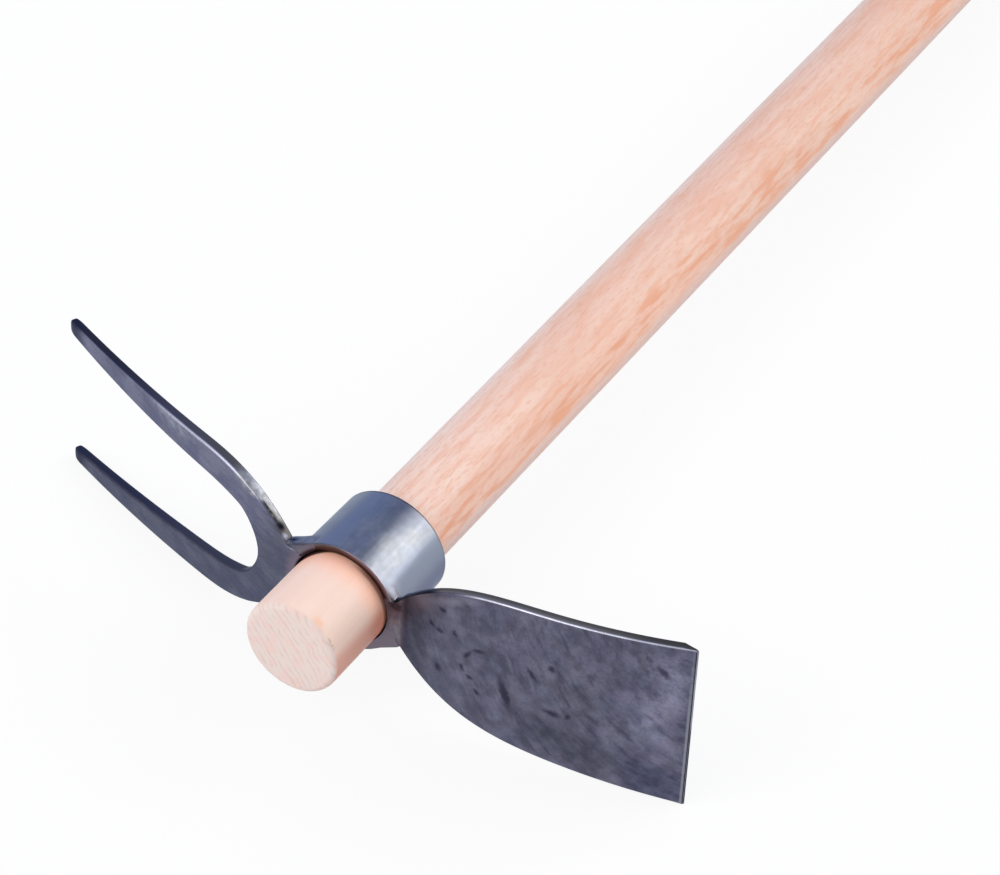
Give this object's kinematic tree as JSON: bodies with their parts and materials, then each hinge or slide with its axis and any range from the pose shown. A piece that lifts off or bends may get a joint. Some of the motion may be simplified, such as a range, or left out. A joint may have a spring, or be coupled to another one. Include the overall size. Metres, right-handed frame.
{
  "type": "combination hoe",
  "caption": "Long wooden handle through a tapered steel eye that carries a broad hoe blade on one side and a curved two-tined fork on the other.",
  "frame": {"origin": "centre of the flat end face of the handle's butt, just below the eye", "axes": "+Y up the handle to the grip end, +X out along the hoe blade, -X out along the fork, Z across the blade's width; the hoe lies on its side"},
  "size_m": [0.2598, 1.2, 0.0672],
  "materials": {
    "handle_wood": "sanded, unvarnished",
    "eye_steel": "satin, turned smooth",
    "blade_steel": "dark forged scale, ground edge",
    "fork_steel": "dark forged scale",
    "weld_steel": "weld bead, wire brushed"
  },
  "bodies": {
    "handle": {"handle": "handle_wood"},
    "head": {"eye_collar": "eye_steel", "hoe_blade": "blade_steel", "fork": "fork_steel", "blade_weld": "weld_steel", "fork_weld": "weld_steel"}
  },
  "joints": [
    {"name": "head_slide", "type": "slide", "parent": "handle", "child": "head", "axis": [0, 1, 0], "range_m": [0, 1.1377]}
  ]
}
